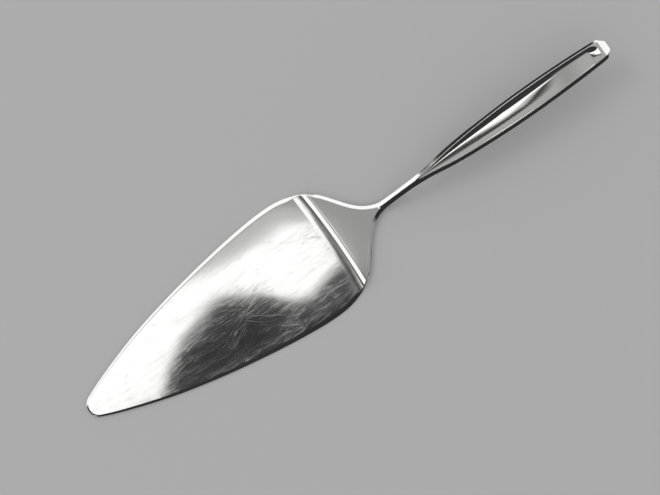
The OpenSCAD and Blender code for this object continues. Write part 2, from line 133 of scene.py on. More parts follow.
class CakeServerSizes(bpy.types.PropertyGroup):
    """Real sizes of the pieces."""

    blade_len: length("Blade length", "From the tip to the foot of the step", 0.1218)
    blade_widest_at: length("Widest at", "From the tip to the blade's greatest width", 0.1046)
    tip_r: length("Tip radius", "Radius of the rounded tip", 0.0052)
    tip_angle: angle("Tip angle", "Between the long axis and the edge just behind the tip", 24)
    blade_bevel_w: length("Blade bevel width", "Bevel round the blade's upper edge at its widest", 0.0019)
    blade_bevel_tip_w: length("Blade bevel width at the tip", "The same bevel at the tip", 0.0007)
    tongue_bevel_w: length("Tongue bevel width", "The same bevel under the shoulder plate", 0.0003)
    bevel_fade: length("Bevel fade", "Length before the step over which the bevel narrows", 0.007)
    blade_bevel_h: length("Blade bevel height", "Height of the blade's bevel at its widest", 0.0009)
    bevel_arch: angle("Bevel arch", "How much the blade's bevel turns across its width", 16)
    tongue_len: length("Tongue length", "Blade under the shoulder plate", 0.0116)
    step_w: length("Step width", "Across the foot of the step", 0.0457)
    plate_t: length("Plate thickness", "Thickness of the shoulder plate", 0.0017)
    riser_run: length("Riser run", "Bevelled riser of the step, seen from above", 0.0019)
    riser_land: length("Riser land", "Blunt lower edge of the riser", 0.00025)
    step_bow: length("Step bow", "How far the middle of the step stands back from its ends", 0.00092)
    step_shift: length("Step shift", "How far the ends of the step stand forward", 0.00055)
    plate_flat_len: length("Flat length", "From the step to the upward bend", 0.0225)
    thicken_lead: length("Thickening lead", "Length before the bend where the plate thickens", 0.003)
    flare_len: length("Flare length", "From the step to the neck's own width", 0.025)
    plate_bevel_w: length("Plate bevel width", "Bevel along the shoulder plate's sides", 0.00145)
    plate_bevel_h: length("Plate bevel height", "Height of that bevel", 0.001)
    plate_arch: angle("Plate bevel arch", "How much that bevel turns across its width", 16)
    bevel_lead: length("Bevel lead", "Length over which that bevel grows", 0.0024)
    solder_t: length("Solder thickness", "Film between blade and plate", 0.0001)
    fillet_run: length("Fillet run", "Solder fillet in front of the step", 0.0036)
    fillet_h: length("Fillet height", "Height of the fillet against the riser", 0.0005)
    neck_w: length("Neck width", "Width of the neck", 0.0037)
    neck_len: length("Neck length", "From the flare to the handle's mouth", 0.013)
    neck_lift: length("Neck lift", "Height that the crank lifts the neck", 0.006)
    neck_bend: length("Neck bend", "Sets how tight the crank's bend is", 0.005)
    neck_flank_h: length("Neck flank height", "Height of the neck's sloping flanks", 0.00105)
    neck_side_h: length("Neck side height", "Height of the neck's upright sides", 0.0012)
    neck_belly_h: length("Neck belly height", "Depth of the neck's rounded underside", 0.002)
    ridge_land: length("Ridge land", "Half width of the neck's blunt ridge", 0.00015)
    handle_len: length("Handle length", "From the mouth to the end", 0.0972)
    handle_w: length("Handle width", "Greatest width of the handle", 0.0121)
    handle_end_w: length("Handle end width", "Width near the end", 0.0094)
    handle_rise: length("Handle rise", "Height that the slope alone would give", 0.021)
    handle_droop: length("Handle droop", "Height that the arch takes off again", 0.009)
    flank_h: length("Flank height", "Sloping flanks beside the rims", 0.00115)
    flank_w: length("Flank width", "Those flanks, seen from above", 0.0015)
    side_h: length("Side height", "Upright sides down to the seam", 0.00345)
    side_lean: length("Side lean", "How far the sides lean out to the seam", 0.0001)
    belly_h: length("Belly height", "Rounded underside below the seam", 0.003)
    rim_w: length("Rim width", "Polished rim beside the trough", 0.00022)
    trough_depth: length("Trough depth", "Depth of the trough", 0.00042)
    trough_lead: length("Trough lead", "From the mouth to the trough's start", 0.0011)
    trough_ease: length("Trough ease", "Length over which the trough deepens", 0.044)
    trough_roll: angle("Trough roll", "Slight tilt of the trough's floor across the handle", 0.95)
    trough_crown: angle("Trough crown", "How much that tilt grows towards the trough's far edge", 1.2)
    flank_arch: angle("Flank arch", "How much the handle's flanks turn across their width", 15)
    end_wall: length("End wall", "Thickness of the end behind the trough", 0.0038)
    trough_close: length("Trough close", "Length over which the floor rises again", 0.0044)
    trough_corner: length("Trough corner", "Radius of the trough's end corners", 0.0022)
    end_round: length("End round", "Length over which the end's top falls away", 0.003)
    end_drop: length("End drop", "Height that it falls", 0.0013)
    end_corner: length("End corner", "Length over which the end corners are rounded", 0.0045)
    end_narrow: length("End narrowing", "Width that this rounding takes off each side", 0.0016)
    end_bulge: length("End bulge", "How far the seam stands out behind the top edge", 0.0004)
    wall: length("Wall", "Wall of the two shells", 0.0006)
    rim_fold: length("Rim fold", "Depth of metal inside the folded rim", 0.0012)
    tang_len: length("Tang length", "Tang inside the handle", 0.052)
    tang_w: length("Tang width", "Width of the tang", 0.0019)
    tang_up: length("Tang above seam", "Height of the tang above the seam", 0.0007)
    tang_down: length("Tang below seam", "Depth of the tang below the seam", 0.0011)
    edge_r: length("Edge radius", "Polished edges between faces", 0.00016)
    soft_edge_r: length("Soft edge radius", "Inner edge of the blade's bevel", 0.0003)
    step_edge_r: length("Step edge radius", "Upper edge of the step", 0.00032)
    warp_slope: FloatProperty(
        name="Warp slope", description="Steepest cross slope of the blade's gentle warp", default=0.0114
    )
    warp_start: length("Warp start", "Place across the blade up to which the warp fades in", -0.014)
    warp_end: length("Warp end", "Place across the blade from which the warp fades", 0.010)
    warp_fade: length("Warp fade", "Width over which it fades", 0.007)


class CakeServerFinish(bpy.types.PropertyGroup):
    """Colours and wear of the surfaces."""

    metal: surface_colour("Metal", "Colour of the polished metal", (0.93, 0.925, 0.92))
    solder: surface_colour("Solder", "Colour of the solder", (0.90, 0.895, 0.89))
    filler: surface_colour("Filler", "Colour of the cast filler", (0.42, 0.33, 0.24))
    floor: surface_colour("Floor", "Colour of the paper under the server", (0.415, 0.415, 0.415))
    blade_wear: strength("Blade wear", "Strength of the scratches on the blade", 1.0)
    handle_wear: strength("Handle wear", "Strength of the scratches on the neck and the handle", 0.3)


class CakeServerStage(bpy.types.PropertyGroup):
    """Camera, floor and light."""

    distance: length("Camera distance", "From the camera to its target on the table", 0.9)
    lean: angle("Camera lean", "Tilt from straight down", 4)
    target_x: length("Target X", "Where the camera looks, along the server", -0.00984)
    target_y: length("Target Y", "Where the camera looks, across the server", -0.00166)
    pixel: length("Pixel", "Size of one of the picture's pixels on the table", 0.00041)
    picture_w: IntProperty(name="Picture width", description="Width of the picture in pixels", default=660)
    turn: angle("Turn", "Angle of the server's axis in the picture", 35.06)
    floor_size: length("Floor size", "Side of the square floor", 3.0)
    floor_gap: length("Floor gap", "Clearance under the server", 0.00003)


def mix(a, b, t):
    return a + (b - a) * t


def clamp(t):
    return min(1, max(0, t))


def smooth(t):
    c = clamp(t)
    return c * c * (3 - 2 * c)


def quarter(t):
    """Height of a quarter round at the share t of its length."""
    return 1 - sqrt(1 - clamp(t) ** 2)


def steps(start, end, count):
    return [mix(start, end, k / count) for k in range(count + 1)]


def eased_steps(start, end, count):
    return [mix(start, end, (1 - cos(pi * k / count)) / 2) for k in range(count + 1)]


def follow(points, u):
    """Smooth curve through points with rising first values."""
    last = len(points) - 1
    k = max([i for i in range(last) if u >= points[i][0]], default=0)

    def tangent(i):
        a, b = max(0, i - 1), min(last, i + 1)
        return (points[b][1] - points[a][1]) / (points[b][0] - points[a][0])

    run = points[k + 1][0] - points[k][0]
    t = clamp((u - points[k][0]) / run)
    return (
        points[k][1] * (2 * t**3 - 3 * t**2 + 1)
        + tangent(k) * run * (t**3 - 2 * t**2 + t)
        + points[k + 1][1] * (3 * t**2 - 2 * t**3)
        + tangent(k + 1) * run * (t**3 - t**2)
    )


class Form:
    """The server's outline, crest line and sections, worked out from its sizes.

    Along the server x is measured from the blade's tip. A section is a list of
    (across, depth below the crest).
    """

    # Half the span of a slope, the trough's half width where it starts, and how far the fold stands in
    slope_step = 0.00015
    trough_start = 0.000075
    fold_inset = 0.00015

    def __init__(self, s):
        self.s = s
        self.blade_w = BLADE_HIGH.y - BLADE_LOW.y
        self.blade_t = BLADE_HIGH.z
        self.tip_flat = 2 * s.ridge_land
        self.tip_start = asin(self.tip_flat / s.tip_r)
        self.tip_reach = s.tip_r * (1 - cos(self.tip_start))
        self.origin_x = BLADE_LOW.x - self.tip_reach
        self.lap_z = self.blade_t + s.solder_t
        self.plate_top_z = self.lap_z + s.plate_t
        self.riser_top_x = s.blade_len + s.riser_run
        self.bend_x = s.blade_len + s.plate_flat_len
        self.flare_end_x = s.blade_len + s.flare_len
        self.mouth_x = self.flare_end_x + s.neck_len
        self.handle_end_x = self.mouth_x + s.handle_len
        self.handle_run = self.handle_end_x - self.bend_x
        self.trough_x = self.mouth_x + s.trough_lead
        self.trough_end_x = self.handle_end_x - s.end_wall
        self.tongue_end_x = s.blade_len + s.tongue_len
        self.seam_end_x = self.handle_end_x + s.end_bulge
        self.tip_tangent = (s.tip_r * (1 - sin(s.tip_angle)), s.tip_r * cos(s.tip_angle))
        self.outline = self.outline_points()

    def outline_points(self):
        s = self.s
        half = self.blade_w / 2
        points = [self.tip_tangent]
        points += [(a * s.blade_widest_at, b * half) for a, b in FRONT_SHARES]
        points += [
            (mix(s.blade_widest_at, s.blade_len, a), mix(s.step_w / 2, half, b)) for a, b in REAR_SHARES
        ]
        points += [
            (s.blade_len + a * s.flare_len, mix(s.neck_w, s.step_w, b) / 2) for a, b in FLARE_SHARES
        ]
        points.append((self.mouth_x, s.neck_w / 2))
        points += [
            (self.mouth_x + a * s.handle_len, mix(s.neck_w, s.handle_w, b) / 2) for a, b in SWELL_SHARES
        ]
        points += [
            (self.mouth_x + a * s.handle_len, mix(s.handle_end_w, s.handle_w, b) / 2)
            for a, b in TAPER_SHARES
        ]
        return points

    def plain_half_w(self, x):
        return follow(self.outline, x)

    def end_share(self, x):
        return (x - (self.handle_end_x - self.s.end_corner)) / self.s.end_corner

    def half_w(self, x):
        return self.plain_half_w(x) - self.s.end_narrow * quarter(self.end_share(x))

    def half_w_slope(self, x):
        d = self.slope_step
        return (self.plain_half_w(x + d) - self.plain_half_w(x - d)) / (2 * d)

    def crest_z(self, x):
        s = self.s
        t = max(0, x - self.bend_x)
        fade = exp(-t / s.neck_bend)
        return (
            self.plate_top_z
            + s.neck_lift * (1 - (1 + t / s.neck_bend) * fade)
            + s.handle_rise * (t - s.neck_bend * (1 - fade)) / self.handle_run
            - s.handle_droop * (t / self.handle_run) ** 2
        )

    def crest_slope(self, x):
        s = self.s
        t = max(0, x - self.bend_x)
        fade = exp(-t / s.neck_bend)
        return (
            s.neck_lift * t / s.neck_bend**2 * fade
            + s.handle_rise * (1 - fade) / self.handle_run
            - 2 * s.handle_droop * t / self.handle_run**2
        )

    def roundness(self, x):
        s = self.s
        return smooth((x - self.bend_x + s.thicken_lead) / (s.flare_len * THICKEN_SHARE))

    def bevel_growth(self, x):
        return mix(CORNER_BEVEL_SHARE, 1, smooth((x - self.riser_top_x) / self.s.bevel_lead))

    def fullness(self, x):
        return smooth((x - self.mouth_x) / (self.s.handle_len * FLANK_EASE_SHARE))

    def blend(self, x, plate, neck, handle):
        """A size that changes from the plate to the neck and on to the handle."""
        return mix(mix(plate, neck, self.roundness(x)), handle, self.fullness(x))

    def flank_depth(self, x):
        s = self.s
        return self.bevel_growth(x) * self.blend(x, s.plate_bevel_h, s.neck_flank_h, s.flank_h)

    def seam_depth(self, x):
        s = self.s
        plate_side = (s.plate_t - s.plate_bevel_h) * PLATE_SIDE_SHARE
        return self.flank_depth(x) + self.blend(x, plate_side, s.neck_side_h, s.side_h)

    def keel_depth(self, x):
        s = self.s
        neck = s.neck_flank_h + s.neck_side_h + s.neck_belly_h
        keel = self.blend(x, s.plate_t, neck, s.flank_h + s.side_h + s.belly_h)
        return keel - s.end_narrow * quarter(self.end_share(x))

    def bevel_w(self, x):
        s = self.s
        turn = s.blade_len + s.flare_len * FLANK_TURN_SHARE
        narrow = smooth((x - turn) / (self.flare_end_x - turn))
        side = s.plate_bevel_w * self.bevel_growth(x) * sqrt(1 + self.half_w_slope(x) ** 2)
        return mix(side, s.neck_w / 2, narrow)

    def rim_bevel_w(self, x):
        s = self.s
        return mix(s.neck_w / 2, s.flank_w, smooth((x - self.trough_x) / (s.handle_len * RIM_EASE_SHARE)))

    def crest_half(self, x):
        bevel = self.bevel_w(x) if x < self.trough_x else self.rim_bevel_w(x)
        return max(self.s.ridge_land, self.half_w(x) - bevel)

    def trough_half(self, x):
        return max(self.trough_start, self.crest_half(x) - self.s.rim_w)

    def crest_drop(self, x):
        s = self.s
        return s.end_drop * clamp((x - self.handle_end_x + s.end_round) / s.end_round) ** 2

    def trough_dip(self, x, v):
        """Depth of the trough, where v runs from -1 to 1 between its edges."""
        s = self.s
        open_share = smooth((x - self.trough_x) / s.trough_ease)
        corner = s.trough_corner * v**FLOOR_CORNER_POWER
        close = smooth((x + corner - (self.trough_end_x - s.trough_close)) / s.trough_close)
        bowl = 1 - abs(v) ** FLOOR_POWER
        roll = s.trough_roll * follow(ROLL_SHARES, (x - self.mouth_x) / s.handle_len)
        tilt = roll - s.trough_crown * v / 2
        return bowl * (1 - close) * (s.trough_depth * open_share + tilt * self.trough_half(x) * v)

    def edge(self, x):
        return self.half_w(x), self.seam_depth(x)

    def foot(self, x):
        half = self.half_w(x) - self.s.side_lean * self.roundness(x)
        return half, self.flank_depth(x) + self.crest_drop(x)

    def placed(self, x, point):
        """A section's point at x, set square to the crest line."""
        a = atan(self.crest_slope(x))
        return Vector((
            self.origin_x + x + point[1] * sin(a), point[0], self.crest_z(x) - point[1] * cos(a)
        ))

    def place(self, x, points):
        return [self.placed(x, p) for p in points]


def left(point):
    return -point[0], point[1]


def spread(count):
    return [2 * k / (count - 1) - 1 for k in range(count)]


ARCH_POINTS = 4


def arch_points(rim, foot, turn):
    """Points of a convex flank between its rim and its foot, which turns by the angle turn."""
    across, down = foot[0] - rim[0], foot[1] - rim[1]
    bulge = tan(turn / 2) / 2
    top = ((rim[0] + foot[0]) / 2 + bulge * down, (rim[1] + foot[1]) / 2 - bulge * across)
    points = []
    for k in range(1, ARCH_POINTS + 1):
        t = k / (ARCH_POINTS + 1)
        points.append(tuple(
            a * (1 - t) ** 2 + b * 2 * t * (1 - t) + c * t**2 for a, b, c in zip(rim, top, foot)
        ))
    return points


def belly_point(edge, keel, roundness, t):
    """A point of the rounded underside at the share t of the way from the edge to the keel."""
    if t < 0.5:
        box = (edge[0], mix(edge[1], keel, 2 * t))
    else:
        box = (edge[0] * 2 * (1 - t), keel)
    bow = (edge[0] * cos(pi / 2 * t), mix(edge[1], keel, sin(pi / 2 * t)))
    return mix(box[0], bow[0], roundness), mix(box[1], bow[1], roundness)


def belly_row(edge, keel, roundness, count=9):
    """The underside from the right edge to the left one, without the edges themselves."""
    half = [belly_point(edge, keel, roundness, k / (count + 0.5)) for k in range(1, count + 1)]
    return half + [left(p) for p in reversed(half)]


# A rounded corner: the steps of its arc, how many radii out its support points stand, and how much
# of an edge's length one corner may take
ARC_STEPS = 4
SUPPORT_REACH = 1.7
CORNER_LIMIT = 0.45


def bend_corner(before, corner, after, radius):
    """A corner turned into a small arc, with a support point on either side of it."""
    into, out = before - corner, after - corner
    limit = CORNER_LIMIT / SUPPORT_REACH
    reach = min(radius, limit * into.length, limit * out.length)
    start = corner + into.normalized() * reach
    end = corner + out.normalized() * reach
    arc = [
        start * (1 - t) ** 2 + corner * 2 * t * (1 - t) + end * t**2
        for t in [k / ARC_STEPS for k in range(ARC_STEPS + 1)]
    ]
    first = corner + into.normalized() * reach * SUPPORT_REACH
    last = corner + out.normalized() * reach * SUPPORT_REACH
    return [first] + arc + [last]


def soften(ring, corners):
    """A closed ring whose numbered corners become small arcs. Corners maps a number to a radius."""
    made = []
    for k, point in enumerate(ring):
        if k in corners:
            made += bend_corner(ring[k - 1], point, ring[(k + 1) % len(ring)], corners[k])
        else:
            made.append(point)
    return made


def soften_rows(before, corner, after, radius):
    """The rows of an edge: each point of the middle row becomes a small arc between its neighbours."""
    columns = [bend_corner(a, b, c, radius) for a, b, c in zip(before, corner, after)]
    return [list(row) for row in zip(*columns)]


MERGE = 1e-7
SHARP_ANGLE = radians(42)


def tube(name, rings):
    """A closed solid through rings of equal counts: a grid moved into place, joined and capped."""
    bm = bmesh.new()
    rows, columns = len(rings) - 1, len(rings[0])
    bmesh.ops.create_grid(bm, x_segments=rows, y_segments=columns, size=1)
    for v in bm.verts:
        i = round((v.co.x + 1) / 2 * rows)
        j = round((v.co.y + 1) / 2 * columns)
        v.co = rings[i][j % columns]
    bmesh.ops.remove_doubles(bm, verts=bm.verts, dist=MERGE)
    bmesh.ops.dissolve_degenerate(bm, edges=bm.edges, dist=MERGE)
    bmesh.ops.holes_fill(bm, edges=[e for e in bm.edges if e.is_boundary], sides=0)
    wide = [f for f in bm.faces if len(f.verts) > 4]
    bmesh.ops.triangulate(bm, faces=wide)
    bmesh.ops.recalc_face_normals(bm, faces=bm.faces)
    return finished(name, bm)


def finished(name, bm):
    """The bmesh as a smooth-shaded object at the origin, sharp only at its hard edges."""
    mesh = bpy.data.meshes.new(name)
    bm.to_mesh(mesh)
    bm.free()
    mesh.shade_smooth()
    mesh.set_sharp_from_angle(angle=SHARP_ANGLE)
    piece = bpy.data.objects.new(name, mesh)
    bpy.context.scene.collection.objects.link(piece)
    return piece


def hand_over(piece, node, material):
    """Gives a finished piece its material and its place in the frame."""
    piece.data.materials.append(material)
    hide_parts(node)
    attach(piece, BODY)


TIP_ROWS = 16
BLADE_ROWS = 170
TONGUE_ROWS = 12
BLADE_COLUMNS = 72
UNDER_COLUMNS = 10


def warp_height(form, x, y):
    """Height of the blade's gentle warp, which bends what it mirrors."""
    s = form.s

    def fade(t):
        """Height gained over the share t of a fade, in which the slope falls smoothly to nothing."""
        return s.warp_fade * (clamp(t) - clamp(t) ** 3 + clamp(t) ** 4 / 2)

    rise = min(s.warp_end, max(s.warp_start, y)) - s.warp_end - s.warp_fade / 2
    rise += fade((y - s.warp_end) / s.warp_fade) - fade((s.warp_start - y) / s.warp_fade)
    return s.warp_slope * follow(WARP_SHARES, x / s.blade_len) * rise


def blade_bevel(form, x):
    """Width of the blade's bevel at x."""
    s = form.s
    wide = min(mix(s.blade_bevel_tip_w, s.blade_bevel_w, x / s.blade_widest_at), s.blade_bevel_w)
    return mix(wide, s.tongue_bevel_w, smooth((x + s.bevel_fade - s.blade_len) / s.bevel_fade))


def blade_edges(form):
    """Places round the blade's edge, as x, half width and the bevel's inward offset."""
    s = form.s
    edges = []
    for a in steps(0, pi / 2 - s.tip_angle, TIP_ROWS):
        x = max(form.tip_reach, s.tip_r * (1 - cos(a)))
        w = blade_bevel(form, x)
        edges.append((x, s.tip_r * sin(a), w * cos(a), -w * sin(a)))
    along = steps(form.tip_tangent[0], s.blade_len, BLADE_ROWS)[1:]
    along += steps(s.blade_len, form.tongue_end_x, TONGUE_ROWS)[1:]
    for x in along:
        m = form.half_w_slope(x)
        w = blade_bevel(form, x) / sqrt(1 + m * m)
        edges.append((x, form.plain_half_w(x), w * m, -w))
    return edges


def blade_ring(form, edge):
    s = form.s
    x, half, dx, dy = edge
    drop = s.blade_bevel_h * blade_bevel(form, x) / s.blade_bevel_w
    inner = max(0, half + dy)
    arch = arch_points((inner, 0), (half, drop), s.bevel_arch)
    bevel = [
        Vector((x + dx * (1 - k / (len(arch) + 1)), across, form.blade_t - depth))
        for k, (across, depth) in enumerate(arch, 1)
    ]
    top = [Vector((x + dx, inner * v, form.blade_t)) for v in spread(BLADE_COLUMNS)]
    under = [Vector((x, half * v, 0)) for v in reversed(spread(UNDER_COLUMNS))]
    side_z = form.blade_t - drop
    left_bevel = [Vector((p.x, -p.y, p.z)) for p in reversed(bevel)]
    ring = [Vector((x, -half, side_z))] + left_bevel + top + bevel + [Vector((x, half, side_z))] + under
    for p in ring:
        lift = warp_height(form, p.x, p.y) * (p.z / form.blade_t) ** 2
        p.x += form.origin_x
        p.z += lift
    right_side = BLADE_COLUMNS + 2 * ARCH_POINTS + 1
    return soften(ring, {
        0: s.edge_r, right_side: s.edge_r, right_side + 1: s.edge_r, len(ring) - 1: s.edge_r,
        ARCH_POINTS + 1: s.soft_edge_r, ARCH_POINTS + BLADE_COLUMNS: s.soft_edge_r,
    })


def build_blade(form, material):
    piece = tube("blade_sheet", [blade_ring(form, edge) for edge in blade_edges(form)])
    hand_over(piece, "blade", material)


FILLET_STEPS = 14
SOLDER_COLUMNS = 60


def step_bow(form, x, y):
    """How far a point near the step stands back, so that the step is slightly bowed."""
    s = form.s
    near = smooth(1 - abs(x - s.blade_len) / (STEP_REACH * s.fillet_run))
    return near * (s.step_bow * (1 - (2 * y / s.step_w) ** 2) - s.step_shift)


def solder_half(form, x):
    return form.plain_half_w(x) - blade_bevel(form, x) * sqrt(1 + form.half_w_slope(x) ** 2)


def build_solder(form, material):
    s = form.s
    start = s.blade_len - s.fillet_run
    top = s.blade_len + (s.fillet_h - s.solder_t - s.riser_land) * s.riser_run / (s.plate_t - s.riser_land)
    profile = [
        (mix(start, top, t), form.blade_t + s.fillet_h * t * mix(t, 1, FILLET_START_SHARE))
        for t in steps(0, 1, FILLET_STEPS)
    ]
    profile += [(s.blade_len, form.lap_z + s.riser_land), (s.blade_len, form.lap_z)]
    profile += [(form.tongue_end_x, form.lap_z), (form.tongue_end_x, form.blade_t)]
    profile += [(s.blade_len, form.blade_t)]
    rings = []
    for v in spread(SOLDER_COLUMNS):
        ring = []
        for x, z in profile:
            y = solder_half(form, x) * v
            lift = warp_height(form, x, y) if x < s.blade_len else 0
            fade = clamp((form.blade_t + s.fillet_h - z) / s.fillet_h)
            ring.append(Vector((form.origin_x + x + step_bow(form, x, y), y, z + lift * fade)))
        rings.append(ring)
    piece = tube("solder_fillet", rings)
    hand_over(piece, "lap_solder", material)


FLAT_COLUMNS = 26
PLATE_ROWS = 40
NECK_ROWS = 80
TANG_ROWS = 14


def plate_ring(form, x, edge, foot, rim, keel, roundness, turn=0):
    """A closed section of the plate, the neck or the tang, from the left seam over the top."""
    flat = [(rim[0] * v, rim[1]) for v in spread(FLAT_COLUMNS)]
    flank = arch_points(rim, foot, turn)
    left_flank = [left(p) for p in reversed(flank)]
    section = [left(edge), left(foot)] + left_flank + flat + flank + [foot, edge]
    left_rim = ARCH_POINTS + 2
    right_rim = left_rim + FLAT_COLUMNS - 1
    right_foot = right_rim + ARCH_POINTS + 1
    ring = form.place(x, section + belly_row(edge, keel, roundness))
    corners = (0, 1, left_rim, right_rim, right_foot, right_foot + 1)
    return soften(ring, dict.fromkeys(corners, form.s.edge_r))


def shoulder_ring(form, x):
    s = form.s
    eased = PLATE_ARCH_SHARE * s.flare_len
    turn = s.plate_arch * (1 - smooth((x - form.riser_top_x - eased) / eased))
    rim = (form.crest_half(x), 0)
    return plate_ring(form, x, form.edge(x), form.foot(x), rim, form.keel_depth(x), form.roundness(x), turn)


def riser_foot_ring(form):
    s = form.s
    x = s.blade_len
    half = form.half_w(x)

    def depth(share):
        return s.plate_t - s.riser_land * share

    edge, foot = (half, depth(RISER_EDGE_SHARE)), (half, depth(RISER_FOOT_SHARE))
    return plate_ring(form, x, edge, foot, (form.crest_half(x), depth(1)), s.plate_t, 0)


def tang_ring(form, x):
    s = form.s
    seam, half = form.seam_depth(x), s.tang_w / 2
    top = seam - s.tang_up
    edge, foot = (half, seam), (half, mix(seam, top, TANG_FLANK_SHARE))
    return plate_ring(form, x, edge, foot, (half * TANG_RIM_SHARE, top), seam + s.tang_down, 1)


def build_shoulder(form, material):
    s = form.s
    foot_row = riser_foot_ring(form)
    top_row = shoulder_ring(form, form.riser_top_x)
    next_row = shoulder_ring(form, form.riser_top_x + s.riser_run)
    rows = [foot_row]
    rows += soften_rows(foot_row, top_row, next_row, s.step_edge_r)
    rows += [shoulder_ring(form, x) for x in steps(form.riser_top_x + s.riser_run, form.bend_x, PLATE_ROWS)]
    rows += [shoulder_ring(form, x) for x in steps(form.bend_x, form.mouth_x, NECK_ROWS)[1:]]
    rows += [tang_ring(form, x) for x in steps(form.mouth_x, form.mouth_x + s.tang_len, TANG_ROWS)]
    for row in rows:
        for p in row:
            p.x += step_bow(form, p.x - form.origin_x, p.y)
    piece = tube("shoulder_plate_and_neck", rows)
    hand_over(piece, "shoulder_and_tang", material)


TROUGH_COLUMNS = 33
SHELL_ROWS = 150
END_ROWS = 7


def top_points(edge, foot, rim, inner_half, dips, turn=0):
    trough = [(inner_half * v, dip) for v, dip in zip(spread(TROUGH_COLUMNS), dips)]
    flank = arch_points(rim, foot, turn)
    left_flank = [left(p) for p in reversed(flank)]
    return [left(edge), left(foot)] + left_flank + [left(rim)] + trough + [rim] + flank + [foot, edge]


def outer_top(form, x):
    drop = form.crest_drop(x)
    dips = [drop + form.trough_dip(x, v) for v in spread(TROUGH_COLUMNS)]
    turn = form.s.flank_arch * form.fullness(x)
    rim = (form.crest_half(x), drop)
    return top_points(form.edge(x), form.foot(x), rim, form.trough_half(x), dips, turn)


def inner_top(form, x):
    s = form.s
    drop = form.crest_drop(x)
    half = max(form.fold_inset, form.crest_half(x) - form.fold_inset)
    foot = form.foot(x)
    dips = [drop + max(s.rim_fold, s.wall + form.trough_dip(x - s.wall, v)) for v in spread(TROUGH_COLUMNS)]
    return top_points(
        (form.half_w(x) - s.wall, form.seam_depth(x)), (foot[0] - s.wall, foot[1] + s.wall),
        (half, drop + s.rim_fold), max(form.trough_start, half - form.fold_inset), dips,
    )


def outer_bottom(form, x):
    edge = form.edge(x)
    return [edge] + belly_row(edge, form.keel_depth(x), 1) + [left(edge)]


def inner_bottom(form, x):
    s = form.s
    edge = (form.half_w(x) - s.wall, form.seam_depth(x))
    return [edge] + belly_row(edge, form.keel_depth(x) - s.wall, 1) + [left(edge)]


def end_rows(form, row, x, reach_x):
    """Rows that carry the last section round the handle's end, down or up to the seam."""
    seam = form.seam_depth(reach_x)
    made = []
    for t in steps(0, 1, END_ROWS)[1:]:
        narrow = mix(1, END_FLAT_SHARE, quarter(t))
        at = mix(x, reach_x, sin(pi / 2 * t))
        made.append(form.place(at, [(p[0] * narrow, mix(p[1], seam, t)) for p in row]))
    return made


def shell_rows(form, section, end_x, seam_x):
    rows = [form.place(x, section(form, x)) for x in eased_steps(form.mouth_x, end_x, SHELL_ROWS)]
    return rows + end_rows(form, section(form, end_x), end_x, seam_x)


def build_shell(form, name, node, outer_section, inner_section, corners, material):
    s = form.s
    outer = shell_rows(form, outer_section, form.handle_end_x, form.seam_end_x)
    inner = shell_rows(form, inner_section, form.handle_end_x - s.wall, form.seam_end_x - s.wall)
    rings = [soften(a + list(reversed(b)), corners) for a, b in zip(outer, inner)]
    hand_over(tube(name, rings), node, material)


def build_handle(form, material):
    s = form.s
    last = len(outer_top(form, form.mouth_x)) - 1
    rim = ARCH_POINTS + 2
    top_corners = {0: s.edge_r / 2, 1: s.edge_r, rim: s.edge_r, rim + 1: s.edge_r}
    top_corners.update({last - k: r for k, r in top_corners.items()})
    build_shell(form, "handle_upper", "handle_top_shell", outer_top, inner_top, top_corners, material)
    last = len(outer_bottom(form, form.mouth_x)) - 1
    build_shell(
        form, "handle_lower", "handle_bottom_shell", outer_bottom, inner_bottom,
        {0: s.edge_r / 2, last: s.edge_r / 2}, material,
    )


